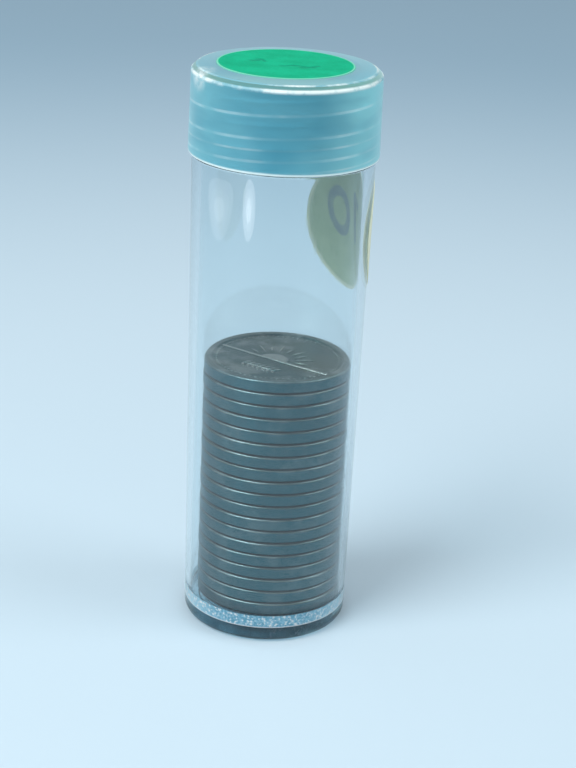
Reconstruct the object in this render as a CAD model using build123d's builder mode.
from build123d import *
from math import cos, degrees, radians, sin
import os

os.makedirs("parts", exist_ok=True)

# A clear moulded tube stands on the plane Z = 0, with its axis on Z and its viewed side towards -Y.
# It holds a stack of coins and is closed by a translucent screw cap. Sizes are in millimetres.

# Coins: raised rims and sunk fields, stacked rim to rim on the floor of the tube
coin_count = 19
coin_diameter = 21.21
coin_thickness = 1.95
coin_rim_width = 1.0
coin_rim_slope = 0.3
coin_field_depth = 0.22
coin_edge_chamfer = 0.2
# The stack leans towards +X in the bore, and each coin lies a little off the one below
stack_lean = 0.42
coin_shuffle = 0.05
coin_shuffle_turn = 137.5

# Tube: a nearly straight bore in an outer wall with more draft, and a floor raised inside a foot ring
tube_capacity = 40
tube_headroom = 0.3
bore_clearance = 0.7
bore_draft = 0.07
floor_thickness = 1.95
base_wall = 0.79
outer_draft = 0.77
base_corner_radius = 1.2
foot_width = 1.0
recess_depth = 1.8
recess_slope = 0.3
# Neck: relieved from the shoulder up, so that the cap ends nearly flush with the tube
neck_wall = 0.7
shoulder_edge_radius = 0.5
lip_chamfer = 0.25

# Cap: a plate that seats on the lip, with a crowned top, a bevel and a drafted skirt
thread_gap = 0.42
cap_wall = 0.87
cap_plate = 1.2
cap_depth = 11.2
rim_gap = 0.15
skirt_draft = 0.14
bevel_width = 0.82
bevel_drop = 0.7
bevel_edge_radius = 0.4
crown_width = 2.4
crown_drop = 0.25
crown_edge_radius = 6.0
rim_chamfer = 0.25
rim_lead_in = 0.35

# Labels: a round paper dot, stuck on the cap a little off its middle, and one wrapped on the tube
cap_label_diameter = 19.05
cap_label_offset = (-0.25, -0.3)
side_label_diameter = 19.05
label_thickness = 0.1
glue_line = 0.02
side_label_below_shoulder = 11.25
side_label_azimuth = 28.5

# Sizes and places worked out from those
coin_radius = coin_diameter / 2
floor_bore_radius = coin_radius + bore_clearance
lip_bore_radius = floor_bore_radius + bore_draft
neck_radius = lip_bore_radius + neck_wall
base_radius = floor_bore_radius + base_wall
shoulder_radius = base_radius + outer_draft
recess_radius = base_radius - base_corner_radius - foot_width
floor_height = recess_depth + floor_thickness
lip_height = floor_height + tube_capacity * coin_thickness + tube_headroom
rim_height = lip_height - cap_depth
shoulder_height = rim_height - rim_gap
cap_bore_radius = neck_radius + thread_gap
rim_radius = cap_bore_radius + cap_wall
bevel_radius = rim_radius - skirt_draft
crown_radius = bevel_radius - bevel_width
cap_top = lip_height + cap_plate
crown_height = cap_top - crown_drop
bevel_height = crown_height - bevel_drop


def wall_radius(height):
    """Outer radius of the drafted tube wall at a height."""
    return base_radius + outer_draft * height / shoulder_height


def save(piece, name):
    """Label a finished piece and write it as its own file."""
    piece.part.label = name
    export_step(piece.part, f"parts/{name}.step")


# The tube is turned from one outline: from the recess in its foot up the outside, and down the bore
with BuildPart() as tube_body:
    with BuildSketch(Plane.XZ):
        with BuildLine():
            outline = FilletPolyline(
                (0, recess_depth),
                (recess_radius - recess_slope, recess_depth),
                (recess_radius, 0),
                (base_radius, 0),
                (shoulder_radius, shoulder_height),
                (neck_radius, shoulder_height),
                (neck_radius, lip_height - lip_chamfer),
                (neck_radius - lip_chamfer, lip_height),
                (lip_bore_radius, lip_height),
                (floor_bore_radius, floor_height),
                (0, floor_height),
                radius=[0, 0, base_corner_radius, shoulder_edge_radius, 0, 0, 0, 0, 0],
            )
            Line(outline @ 1, outline @ 0)
        make_face()
    revolve(axis=Axis.Z)
save(tube_body, "tube_body")

# The cap is turned the same way: crowned plate, bevel, drafted skirt, rim, and the room for the threads
with BuildPart() as screw_cap:
    with BuildSketch(Plane.XZ):
        with BuildLine():
            outline = FilletPolyline(
                (0, cap_top),
                (crown_radius - crown_width, cap_top),
                (crown_radius, crown_height),
                (bevel_radius, bevel_height),
                (rim_radius, rim_height + rim_chamfer),
                (rim_radius - rim_chamfer, rim_height),
                (cap_bore_radius + rim_lead_in, rim_height),
                (cap_bore_radius, rim_height + rim_lead_in),
                (cap_bore_radius, lip_height),
                (0, lip_height),
                radius=[crown_edge_radius, bevel_edge_radius, bevel_edge_radius, 0, 0, 0, 0, 0],
            )
            Line(outline @ 1, outline @ 0)
        make_face()
    revolve(axis=Axis.Z)
save(screw_cap, "screw_cap")

# A paper dot lies flat on the crown of the cap
with BuildPart() as cap_label:
    with BuildSketch(Plane.XY.offset(cap_top)):
        with Locations(cap_label_offset):
            Circle(cap_label_diameter / 2)
    extrude(amount=label_thickness)
save(cap_label, "cap_label")

# The second dot is wrapped on the drafted wall, so it is cut from a thin sleeve by an upright ellipse
label_height = shoulder_height - side_label_below_shoulder
label_low = label_height - side_label_diameter
label_radius = side_label_diameter / 2
wrap_radius = wall_radius(label_height)
wrap_angle = degrees(label_radius / wrap_radius)
outward = (cos(radians(side_label_azimuth)), sin(radians(side_label_azimuth)), 0)
with BuildPart() as side_label:
    with BuildSketch(Plane.XZ):
        with BuildLine():
            inner = Line(
                (wall_radius(label_low) + glue_line, label_low),
                (wall_radius(shoulder_height) + glue_line, shoulder_height),
            )
            outer = Line(
                inner @ 0 + (label_thickness, 0),
                inner @ 1 + (label_thickness, 0),
            )
            Line(inner @ 0, outer @ 0)
            Line(inner @ 1, outer @ 1)
        make_face()
    revolve(axis=Axis.Z)
    with BuildSketch(Plane(origin=(0, 0, label_height), x_dir=(0, 0, 1), z_dir=outward)):
        Ellipse(label_radius, wrap_radius * sin(radians(wrap_angle)))
    extrude(amount=2 * shoulder_radius, mode=Mode.INTERSECT)
save(side_label, "side_label")

# Each coin is turned from half of its section: two sunk fields, two sloped rim walls, an eased edge
coin_rim_radius = coin_radius - coin_rim_width
field_radius = coin_rim_radius - coin_rim_slope
for index in range(coin_count):
    turn = radians(index * coin_shuffle_turn)
    center = (stack_lean + coin_shuffle * cos(turn), coin_shuffle * sin(turn), 0)
    low = floor_height + index * coin_thickness
    high = low + coin_thickness
    with BuildPart() as coin:
        with BuildSketch(Plane(origin=center, x_dir=(1, 0, 0), z_dir=(0, -1, 0))):
            with BuildLine():
                Polyline(
                    (0, low + coin_field_depth),
                    (field_radius, low + coin_field_depth),
                    (coin_rim_radius, low),
                    (coin_radius - coin_edge_chamfer, low),
                    (coin_radius, low + coin_edge_chamfer),
                    (coin_radius, high - coin_edge_chamfer),
                    (coin_radius - coin_edge_chamfer, high),
                    (coin_rim_radius, high),
                    (field_radius, high - coin_field_depth),
                    (0, high - coin_field_depth),
                    close=True,
                )
            make_face()
        revolve(axis=Axis(center, (0, 0, 1)))
    save(coin, f"coin_{index + 1:02d}")
